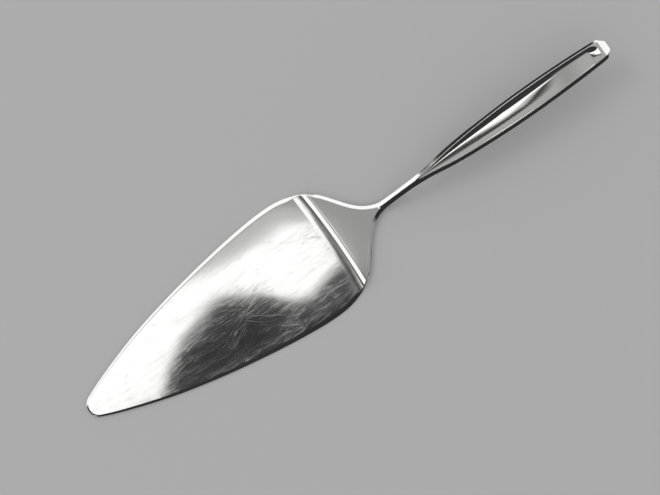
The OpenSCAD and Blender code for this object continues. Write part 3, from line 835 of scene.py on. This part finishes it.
class Graph:
    """Short calls for the nodes of one material, group or world."""

    def __init__(self, tree):
        self.tree = tree

    def node(self, kind, **settings):
        made = self.tree.nodes.new(kind)
        for key, value in settings.items():
            setattr(made, key, value)
        return made

    def put(self, value, socket):
        if isinstance(value, bpy.types.NodeSocket):
            self.tree.links.new(value, socket)
        else:
            socket.default_value = value

    def math(self, operation, a, b=0.0):
        made = self.node("ShaderNodeMath", operation=operation)
        for value, socket in zip((a, b), made.inputs):
            self.put(value, socket)
        return made.outputs[0]

    def times(self, *values):
        product = values[0]
        for value in values[1:]:
            product = self.math("MULTIPLY", product, value)
        return product

    def plus(self, a, b):
        return self.math("ADD", a, b)

    def without(self, value):
        return self.math("SUBTRACT", 1.0, value)

    def ramp(self, value, low, high, out_low=0.0, out_high=1.0):
        """A soft step from out_low to out_high while value goes from low to high."""
        made = self.node("ShaderNodeMapRange", interpolation_type="SMOOTHSTEP")
        self.put(value, made.inputs["Value"])
        made.inputs["From Min"].default_value = low
        made.inputs["From Max"].default_value = high
        made.inputs["To Min"].default_value = out_low
        made.inputs["To Max"].default_value = out_high
        return made.outputs["Result"]

    def band(self, value, low, high, soft):
        """1 between low and high, with soft edges."""
        after_low = self.ramp(value, low - soft, low + soft)
        return self.times(after_low, self.without(self.ramp(value, high - soft, high + soft)))

    def blend(self, share, a, b):
        made = self.node("ShaderNodeMix", data_type="FLOAT")
        self.put(share, made.inputs[0])
        self.put(a, made.inputs[2])
        self.put(b, made.inputs[3])
        return made.outputs[0]

    def layered(self, base, *layers):
        """The base value with others laid over it, each given as its share and its value."""
        for share, value in layers:
            base = self.blend(share, base, value)
        return base

    def tint(self, share, a, b):
        made = self.node("ShaderNodeMix", data_type="RGBA")
        self.put(share, made.inputs[0])
        self.put(a, made.inputs[6])
        self.put(b, made.inputs[7])
        return made.outputs[2]

    def noise(self, vector, scale, detail=2.0, roughness=0.5):
        made = self.node("ShaderNodeTexNoise")
        self.put(vector, made.inputs["Vector"])
        made.inputs["Scale"].default_value = scale
        made.inputs["Detail"].default_value = detail
        made.inputs["Roughness"].default_value = roughness
        return made.outputs["Fac"]

    def turned(self, vector, turn, stretch, shift=0.0):
        """The vector turned about Z and stretched along its new X."""
        made = self.node("ShaderNodeMapping", vector_type="TEXTURE")
        self.put(vector, made.inputs["Vector"])
        made.inputs["Location"].default_value = (shift, shift, 0)
        made.inputs["Rotation"].default_value = (0, 0, turn)
        made.inputs["Scale"].default_value = (stretch, 1, 1)
        return made.outputs["Vector"]

    def mottle(self, share, colour, spread, shader):
        """Gives the shader a base colour that varies by the spread to either side."""
        mottled = self.tint(share, rgba(colour, 1 - spread), rgba(colour, 1 + spread))
        self.put(mottled, shader.inputs["Base Color"])

    def bump(self, height, distance, shader):
        """Gives the shader a fine relief, in which a height of 1 stands for the distance in metres."""
        made = self.node("ShaderNodeBump")
        made.inputs["Distance"].default_value = distance
        self.put(height, made.inputs["Height"])
        self.put(made.outputs["Normal"], shader.inputs["Normal"])


def new_group(name, inputs, outputs):
    """An empty shader node group with named float or vector sockets."""
    group = bpy.data.node_groups.new(name, "ShaderNodeTree")
    for label, kind, default in inputs:
        socket = group.interface.new_socket(name=label, in_out="INPUT", socket_type=kind)
        if default is not None:
            socket.default_value = default
    for label, kind in outputs:
        group.interface.new_socket(name=label, in_out="OUTPUT", socket_type=kind)
    g = Graph(group)
    return group, g, g.node("NodeGroupInput"), g.node("NodeGroupOutput")


# Families of scratches: angle to the long axis in degrees, stretch, scale per metre, line width,
# how much of the surface they spare, and weight
SCRATCH_FAMILIES = [
    (2, 26, 2600, 0.05, 0.40, 0.5),
    (-6, 30, 1700, 0.03, 0.46, 0.5),
    (9, 30, 1500, 0.026, 0.48, 0.5),
    (29, 24, 520, 0.009, 0.55, 0.9),
    (-34, 24, 460, 0.008, 0.56, 0.9),
]
SCRATCH_SHIFT = 0.37
NOISE_MIDDLE = 0.5
SPARE_EDGE = 0.12
PATCH_STRETCH = 4
PATCH_COARSER = 9
HAZE_STRETCH = 5
HAZE_SCALE = 160
HAZE_RANGE = (0.35, 0.75)


def scratch_group():
    """Fine scratches: thin contour lines of stretched noise, broken up by a slower noise."""
    group, g, entry, result = new_group(
        "Fine Scratches",
        [("Vector", "NodeSocketVector", None), ("Wear", "NodeSocketFloat", 1.0)],
        [("Lines", "NodeSocketFloat"), ("Haze", "NodeSocketFloat")],
    )
    vector, wear = entry.outputs["Vector"], entry.outputs["Wear"]
    total = 0.0
    for k, (turn, stretch, scale, width, spare, weight) in enumerate(SCRATCH_FAMILIES):
        field = g.noise(g.turned(vector, radians(turn), stretch, SCRATCH_SHIFT * k), scale, 1.0)
        off = g.math("ABSOLUTE", g.math("SUBTRACT", field, NOISE_MIDDLE))
        line = g.ramp(off, 0, width, 1, 0)
        patch_place = g.turned(vector, radians(turn), PATCH_STRETCH, SCRATCH_SHIFT * (k + 2))
        patch = g.noise(patch_place, scale / PATCH_COARSER, 2.0)
        total = g.plus(total, g.times(line, g.ramp(patch, spare, spare + SPARE_EDGE), weight))
    g.put(g.times(total, wear), result.inputs["Lines"])
    haze = g.noise(g.turned(vector, 0, HAZE_STRETCH), HAZE_SCALE, 4.0, 0.6)
    g.put(g.times(g.ramp(haze, *HAZE_RANGE), wear), result.inputs["Haze"])
    return group


# The waves of a polished sheet: stretch and scale per metre, and the height share of the fine ones
SLOW_WAVES = (1.6, 110)
FINE_WAVES = (2.5, 420)
FINE_WAVE_SHARE = 0.2


def undulation_group():
    """Slow unevenness of a polished sheet, which gives mirrored edges their waver."""
    group, g, entry, result = new_group(
        "Polish Undulation", [("Vector", "NodeSocketVector", None)], [("Height", "NodeSocketFloat")]
    )

    def waves(stretch, scale):
        return g.noise(g.turned(entry.outputs["Vector"], 0, stretch), scale, 1.0)

    height = g.plus(waves(*SLOW_WAVES), g.times(waves(*FINE_WAVES), FINE_WAVE_SHARE))
    g.put(height, result.inputs["Height"])
    return group


def shared_group(name, make):
    return bpy.data.node_groups.get(name) or make()


def new_material(name):
    material = bpy.data.materials.new(name)
    material.use_nodes = True
    material.node_tree.nodes.clear()
    g = Graph(material.node_tree)
    shader = g.node("ShaderNodeBsdfPrincipled")
    output = g.node("ShaderNodeOutputMaterial")
    g.put(shader.outputs["BSDF"], output.inputs["Surface"])
    return material, g, shader, g.node("ShaderNodeTexCoord").outputs["Object"]


def rgba(colour, factor=1.0):
    return tuple(min(1, c * factor) for c in colour[:3]) + (1.0,)


# Polishes: roughness, and height of the slow waves in metres
BLADE_POLISH = (0.03, 3e-6)
HANDLE_POLISH = (0.04, 2e-6)
SOLDER_POLISH = (0.05, 2e-6)
HAZE_ROUGHNESS = 0.01
SCRATCH_ROUGHNESS = 0.085
ROUGHEST = 0.5
CLOUD_SCALE = 60
CLOUD_SPREAD = 0.015


def polished_metal(name, colour, wear, roughness, wave_height):
    """Mirror-polished metal with fine scratches, a faint haze and a slow unevenness."""
    material, g, shader, place = new_material(name)
    scratches = g.node("ShaderNodeGroup", node_tree=shared_group("Fine Scratches", scratch_group))
    g.put(place, scratches.inputs["Vector"])
    g.put(wear, scratches.inputs["Wear"])
    waves = g.node("ShaderNodeGroup", node_tree=shared_group("Polish Undulation", undulation_group))
    g.put(place, waves.inputs["Vector"])
    g.mottle(g.noise(place, CLOUD_SCALE, 3.0), colour, CLOUD_SPREAD, shader)
    shader.inputs["Metallic"].default_value = 1.0
    haze = g.times(scratches.outputs["Haze"], HAZE_ROUGHNESS)
    lines = g.times(scratches.outputs["Lines"], SCRATCH_ROUGHNESS)
    rough = g.plus(roughness, g.plus(haze, lines))
    g.put(g.math("MINIMUM", rough, ROUGHEST), shader.inputs["Roughness"])
    g.bump(g.times(waves.outputs["Height"], wave_height), 1.0, shader)
    return material


FILLER_SPREAD = 0.2
FILLER_GRAIN_SCALE = 900
FILLER_GRAIN_RANGE = (0.3, 0.7)
FILLER_ROUGHNESS = (0.6, 0.85)
FILLER_PORE_SCALE = 2500
FILLER_PORE_DEPTH = 0.00005


def filler_material(colour):
    """Cast resin: dull, slightly grainy, with fine pores."""
    material, g, shader, place = new_material("cast_filler")
    grain = g.noise(place, FILLER_GRAIN_SCALE, 4.0)
    g.mottle(grain, colour, FILLER_SPREAD, shader)
    g.put(g.ramp(grain, *FILLER_GRAIN_RANGE, *FILLER_ROUGHNESS), shader.inputs["Roughness"])
    g.bump(g.noise(place, FILLER_PORE_SCALE, 2.0), FILLER_PORE_DEPTH, shader)
    return material


PAPER_SCALE = 3
PAPER_SPREAD = 0.01
PAPER_ROUGHNESS = 0.9
PAPER_SHINE = 0.1


def paper_material(colour):
    """Plain grey paper with a barely visible unevenness."""
    material, g, shader, place = new_material("grey_paper")
    g.mottle(g.noise(place, PAPER_SCALE, 2.0), colour, PAPER_SPREAD, shader)
    shader.inputs["Roughness"].default_value = PAPER_ROUGHNESS
    shader.inputs["Specular IOR Level"].default_value = PAPER_SHINE
    return material


def sky_angles(g):
    """The direction that a ray leaves in: two tilts from the zenith and its elevation, in degrees,
    and how much of it points east and north, from -1 to 1. East is +X and north is +Y."""
    direction = g.node("ShaderNodeTexCoord").outputs["Generated"]
    split = g.node("ShaderNodeSeparateXYZ")
    g.put(direction, split.inputs[0])
    x, y, z = split.outputs
    tilt_x = g.times(g.math("ARCTAN2", x, z), degrees(1))
    tilt_y = g.times(g.math("ARCTAN2", y, z), degrees(1))
    flat = g.math("SQRT", g.plus(g.times(x, x), g.times(y, y)))
    elevation = g.times(g.math("ARCTAN2", z, flat), degrees(1))
    east = g.math("DIVIDE", x, g.math("MAXIMUM", flat, 1e-4))
    north = g.math("DIVIDE", y, g.math("MAXIMUM", flat, 1e-4))
    return tilt_x, tilt_y, elevation, east, north


# Brightnesses in the mirrored studio, where 1 is white
SOFTBOX_LEVEL = 1.14
LIGHT_LEVEL = 1.03
LINE_LEVEL = 1.0
BORDER_LEVEL = 0.5
PAPER_LEVEL = 0.4
NEAR_PAPER_LEVEL = 0.31
FRONT_PAPER_SHARE = 0.1
WALL_LEVEL = 0.36
CORNER_LEVEL = 0.3
WEST_LEVEL = 0.04
ROOM_LEVEL = 0.035
DARK_LEVEL = 0.03
TABLE_LEVEL = 0.025
CEILING_LEVEL = 0.02

# Edges overhead, in degrees of tilt from the zenith: where each one starts and ends. Where four
# numbers stand, the last two say what it moves between.
FRONT_EDGE = (2.4, 2.7)
FAR_EDGE = (-3.8, 0.3, 5.2, 4.47)
FAR_EDGE_CUT = (1.5, 2.9, 0, -1.0)
FAR_BLUR = 0.14
RIGHT_END = (2.36, 2.6)
LEFT_END = (2.5, 3.3, -2.6, -9.8)
LEFT_END_CUT = (3.4, 4.0, 0, -12)
LEFT_BLUR = 0.3
BORDER_NARROWS = (-2.5, -1, 0.45, 0)
BORDER_END = (0.55, 0.95)
CEILING_TURN = (1.5, 3.2)
CEILING_END = (1.0, 3.4)
PAPER_TURN = (3.6, 5.5)
FRONT_PAPER_FADE = (-9, 0)
RIGHT_TURN = (5.0, 5.6)
SOFT_RIGHT_END = (1.8, 3.6)
BACK_START = (2.9, 3.3)

# Bands overhead: low end, high end and blur, in the same degrees
GAP_BAND = (-40, 40, 6)
LINE_BAND_X = (-3.6, -2.9, 0.1)
LINE_BAND_Y = (1.9, 2.8, 0.1)
END_LIGHT_START = (12, 15)
END_LIGHT_BAND = (-12, 22, 3)

# Edges round the horizon, as the east or north part of a direction
TABLE_TURN = (-0.45, 0.25)
WALL_TURN = (-0.4, 0.2)
LOW_WEST, LOW_EAST = (-0.75, -0.95), (0.88, 0.96)
HIGH_WEST, HIGH_EAST = (-0.8, -0.95), (0.8, 0.95)
CORNER_EAST, CORNER_SOUTH = (0.52, 0.66), (-0.3, -0.5)
HORIZON_NORTH = (0.95, 0.98)

# Edges between the heights, in degrees of elevation
CORNER_START = (5, 9)
HORIZON_END = (22, 18)
WALL_START = (44, 50)
WEST_RAISE = 20
OVERHEAD_END = (68, 52)


def overhead_light(g, tilt_x, tilt_y):
    """Brightness overhead: a softbox between a dark room and a dark ceiling, with grey paper beside it."""
    # The softbox, whose far edge slants and whose ends are cut off
    beyond = g.math("SUBTRACT", tilt_y, g.plus(g.ramp(tilt_x, *FAR_EDGE), g.ramp(tilt_x, *FAR_EDGE_CUT)))
    left_end = g.math("SUBTRACT", tilt_x, g.plus(g.ramp(tilt_y, *LEFT_END), g.ramp(tilt_y, *LEFT_END_CUT)))
    softbox = g.times(
        g.ramp(tilt_y, *FRONT_EDGE), g.ramp(beyond, -FAR_BLUR, FAR_BLUR, 1, 0),
        g.ramp(tilt_x, *RIGHT_END, 1, 0), g.ramp(left_end, -LEFT_BLUR, LEFT_BLUR),
    )
    # Behind it a grey border, then the dark ceiling, then grey paper
    dark = g.ramp(tilt_x, *CEILING_TURN, CEILING_LEVEL, WALL_LEVEL)
    border_end = g.ramp(g.plus(beyond, g.ramp(tilt_x, *BORDER_NARROWS)), *BORDER_END)
    ceiling = g.blend(g.ramp(beyond, *CEILING_END), g.blend(border_end, BORDER_LEVEL, dark), PAPER_LEVEL)
    # In front of it the dark room, to the right grey paper
    paper = g.ramp(tilt_x, *PAPER_TURN, NEAR_PAPER_LEVEL, PAPER_LEVEL)
    front_paper = g.times(paper, g.ramp(tilt_y, *FRONT_PAPER_FADE, FRONT_PAPER_SHARE, 1))
    right_edge = g.ramp(tilt_x, *RIGHT_END)
    front = g.blend(right_edge, ROOM_LEVEL, front_paper)
    right = g.blend(g.ramp(tilt_y, *RIGHT_TURN), right_edge, g.ramp(tilt_x, *SOFT_RIGHT_END))
    room = g.blend(g.ramp(tilt_y, *BACK_START), front, g.blend(right, ceiling, paper))
    # Towards the tip a dark gap and a fine line of light, beyond the handle's end a light
    gap = g.times(g.ramp(left_end, LEFT_BLUR, -LEFT_BLUR), g.band(tilt_y, *GAP_BAND))
    line = g.times(g.band(tilt_x, *LINE_BAND_X), g.band(tilt_y, *LINE_BAND_Y))
    end_light = g.times(g.ramp(tilt_x, *END_LIGHT_START), g.band(tilt_y, *END_LIGHT_BAND))
    return g.layered(
        room, (gap, DARK_LEVEL), (softbox, SOFTBOX_LEVEL), (line, LINE_LEVEL), (end_light, LIGHT_LEVEL)
    )


def table_light(g, elevation, east, north):
    """Brightness low down: light all round but black to the south, with a grey corner in the
    south-east and a dark band on the horizon in the north."""
    corner = g.times(
        g.ramp(east, *CORNER_EAST), g.ramp(north, *CORNER_SOUTH), g.ramp(elevation, *CORNER_START)
    )
    horizon = g.times(g.ramp(elevation, *HORIZON_END), g.ramp(north, *HORIZON_NORTH))
    return g.layered(
        g.ramp(north, *TABLE_TURN, TABLE_LEVEL, LIGHT_LEVEL), (g.ramp(east, *LOW_WEST), LIGHT_LEVEL),
        (corner, CORNER_LEVEL), (g.ramp(east, *LOW_EAST), LIGHT_LEVEL), (horizon, DARK_LEVEL),
    )


def wall_light(g, east, north):
    """Brightness halfway up: grey to the north, light to the east, dark to the south and west."""
    return g.layered(
        g.ramp(north, *WALL_TURN, DARK_LEVEL, WALL_LEVEL),
        (g.ramp(east, *HIGH_WEST), WEST_LEVEL), (g.ramp(east, *HIGH_EAST), LIGHT_LEVEL),
    )


def mirrored_studio(g):
    """Brightness of the studio that the metal mirrors, from the table up to the zenith."""
    tilt_x, tilt_y, elevation, east, north = sky_angles(g)
    raised = g.plus(elevation, g.ramp(east, *LOW_WEST, 0, WEST_RAISE))
    table, wall = table_light(g, elevation, east, north), wall_light(g, east, north)
    low = g.blend(g.ramp(raised, *WALL_START), table, wall)
    return g.blend(g.ramp(elevation, *OVERHEAD_END), overhead_light(g, tilt_x, tilt_y), low)


PLAIN_LEVEL = 0.9


def light_the_room(finish):
    """World light: what the metal mirrors, a plain level for dull surfaces, and paper behind all."""
    world = bpy.data.worlds.new("studio")
    bpy.context.scene.world = world
    world.use_nodes = True
    world.node_tree.nodes.clear()
    g = Graph(world.node_tree)
    path = g.node("ShaderNodeLightPath")
    level = g.blend(path.outputs["Is Glossy Ray"], PLAIN_LEVEL, mirrored_studio(g))
    grey = g.node("ShaderNodeCombineColor")
    for socket in grey.inputs[:3]:
        g.put(level, socket)
    colour = g.tint(path.outputs["Is Camera Ray"], grey.outputs[0], rgba(finish.floor))
    background = g.node("ShaderNodeBackground")
    g.put(colour, background.inputs["Color"])
    output = g.node("ShaderNodeOutputWorld")
    g.put(background.outputs[0], output.inputs["Surface"])


def lay_floor(stage, finish):
    bm = bmesh.new()
    bmesh.ops.create_grid(bm, x_segments=1, y_segments=1, size=stage.floor_size / 2)
    bmesh.ops.translate(bm, verts=bm.verts, vec=(0, 0, -stage.floor_gap))
    floor = finished("floor", bm)
    floor.data.materials.append(paper_material(finish.floor))


CAMERA_CLIP = (0.01, 20)


def place_camera(stage):
    """Looks down on the server with a slight lean towards the picture's bottom."""
    right = Vector((cos(stage.turn), -sin(stage.turn), 0))
    up = Vector((sin(stage.turn), cos(stage.turn), 0))
    back = Vector((0, 0, 1)) * cos(stage.lean) - up * sin(stage.lean)
    target = Vector((stage.target_x, stage.target_y, 0))
    camera = bpy.data.objects.new("camera", bpy.data.cameras.new("camera"))
    bpy.context.scene.collection.objects.link(camera)
    place = Matrix((right, back.cross(right), back)).transposed().to_4x4()
    place.translation = target + back * stage.distance
    camera.matrix_world = place
    camera.data.lens = camera.data.sensor_width * stage.distance / (stage.pixel * stage.picture_w)
    camera.data.clip_start, camera.data.clip_end = CAMERA_CLIP
    bpy.context.scene.camera = camera


LAMP_PLACE = (-0.5, 0.9, 1.3)
LAMP_SIZE = 0.7
LAMP_POWER = 3.0


def hang_lamp():
    """A soft lamp on the +Y side that gives the faint shadow. Metal doesn't mirror it."""
    data = bpy.data.lights.new("soft_lamp", "AREA")
    data.shape = "DISK"
    data.size = LAMP_SIZE
    data.energy = LAMP_POWER
    lamp = bpy.data.objects.new("soft_lamp", data)
    bpy.context.scene.collection.objects.link(lamp)
    lamp.location = LAMP_PLACE
    lamp.rotation_mode = "QUATERNION"
    lamp.rotation_quaternion = (-Vector(LAMP_PLACE)).to_track_quat("-Z", "Y")
    lamp.visible_glossy = False


def form_of(context):
    return Form(context.scene.cake_server_sizes)


class CAKESERVER_OT_blade(bpy.types.Operator):
    """Build the polished blade with its bevel and its gentle warp"""

    bl_idname = "cake_server.blade"
    bl_label = "Blade"

    def execute(self, context):
        finish = context.scene.cake_server_finish
        metal = polished_metal("blade_steel", finish.metal, finish.blade_wear, *BLADE_POLISH)
        build_blade(form_of(context), metal)
        return {"FINISHED"}


class CAKESERVER_OT_solder(bpy.types.Operator):
    """Build the solder with its concave fillet in front of the step"""

    bl_idname = "cake_server.solder"
    bl_label = "Solder"

    def execute(self, context):
        finish = context.scene.cake_server_finish
        metal = polished_metal("silver_solder", finish.solder, finish.handle_wear, *SOLDER_POLISH)
        build_solder(form_of(context), metal)
        return {"FINISHED"}


class CAKESERVER_OT_shoulder(bpy.types.Operator):
    """Build the shoulder plate with its riser, the cranked neck and the tang"""

    bl_idname = "cake_server.shoulder"
    bl_label = "Shoulder and Neck"

    def execute(self, context):
        finish = context.scene.cake_server_finish
        metal = polished_metal("shoulder_steel", finish.metal, finish.handle_wear, *HANDLE_POLISH)
        build_shoulder(form_of(context), metal)
        return {"FINISHED"}


class CAKESERVER_OT_handle(bpy.types.Operator):
    """Build the two shells of the hollow handle"""

    bl_idname = "cake_server.handle"
    bl_label = "Handle Shells"

    def execute(self, context):
        finish = context.scene.cake_server_finish
        metal = polished_metal("handle_steel", finish.metal, finish.handle_wear, *HANDLE_POLISH)
        build_handle(form_of(context), metal)
        return {"FINISHED"}


class CAKESERVER_OT_filler(bpy.types.Operator):
    """Give the cast filler inside the handle its material"""

    bl_idname = "cake_server.filler"
    bl_label = "Filler"

    def execute(self, context):
        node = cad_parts["handle_filler"]
        node.data.materials.clear()
        node.data.materials.append(filler_material(context.scene.cake_server_finish.filler))
        return {"FINISHED"}


class CAKESERVER_OT_stage(bpy.types.Operator):
    """Set up the floor, the studio light and the camera"""

    bl_idname = "cake_server.stage"
    bl_label = "Stage"

    def execute(self, context):
        stage = context.scene.cake_server_stage
        finish = context.scene.cake_server_finish
        context.scene.view_settings.view_transform = "Standard"
        light_the_room(finish)
        hang_lamp()
        lay_floor(stage, finish)
        place_camera(stage)
        return {"FINISHED"}


OPERATORS = [
    CAKESERVER_OT_blade,
    CAKESERVER_OT_solder,
    CAKESERVER_OT_shoulder,
    CAKESERVER_OT_handle,
    CAKESERVER_OT_filler,
    CAKESERVER_OT_stage,
]


class CAKESERVER_PT_panel(bpy.types.Panel):
    """Lists the pieces of the cake server and its sizes, finish and stage"""

    bl_idname = "CAKESERVER_PT_panel"
    bl_label = "Cake Server"
    bl_space_type = "VIEW_3D"
    bl_region_type = "UI"
    bl_category = "Cake Server"

    def draw(self, context):
        column = self.layout.column()
        for operator in OPERATORS:
            column.operator(operator.bl_idname)
        for group_name, group in GROUPS.items():
            for name in group.__annotations__:
                column.prop(getattr(context.scene, group_name), name)


GROUPS = {
    "cake_server_sizes": CakeServerSizes,
    "cake_server_finish": CakeServerFinish,
    "cake_server_stage": CakeServerStage,
}


def register():
    for group in GROUPS.values():
        bpy.utils.register_class(group)
    for name, group in GROUPS.items():
        setattr(bpy.types.Scene, name, PointerProperty(type=group))
    for operator in OPERATORS:
        bpy.utils.register_class(operator)
    bpy.utils.register_class(CAKESERVER_PT_panel)


def unregister():
    bpy.utils.unregister_class(CAKESERVER_PT_panel)
    for operator in reversed(OPERATORS):
        bpy.utils.unregister_class(operator)
    for name, group in GROUPS.items():
        delattr(bpy.types.Scene, name)
        bpy.utils.unregister_class(group)


def main():
    register()
    bpy.ops.cake_server.blade()
    bpy.ops.cake_server.solder()
    bpy.ops.cake_server.shoulder()
    bpy.ops.cake_server.handle()
    bpy.ops.cake_server.filler()
    bpy.ops.cake_server.stage()


if __name__ == "__main__":
    main()
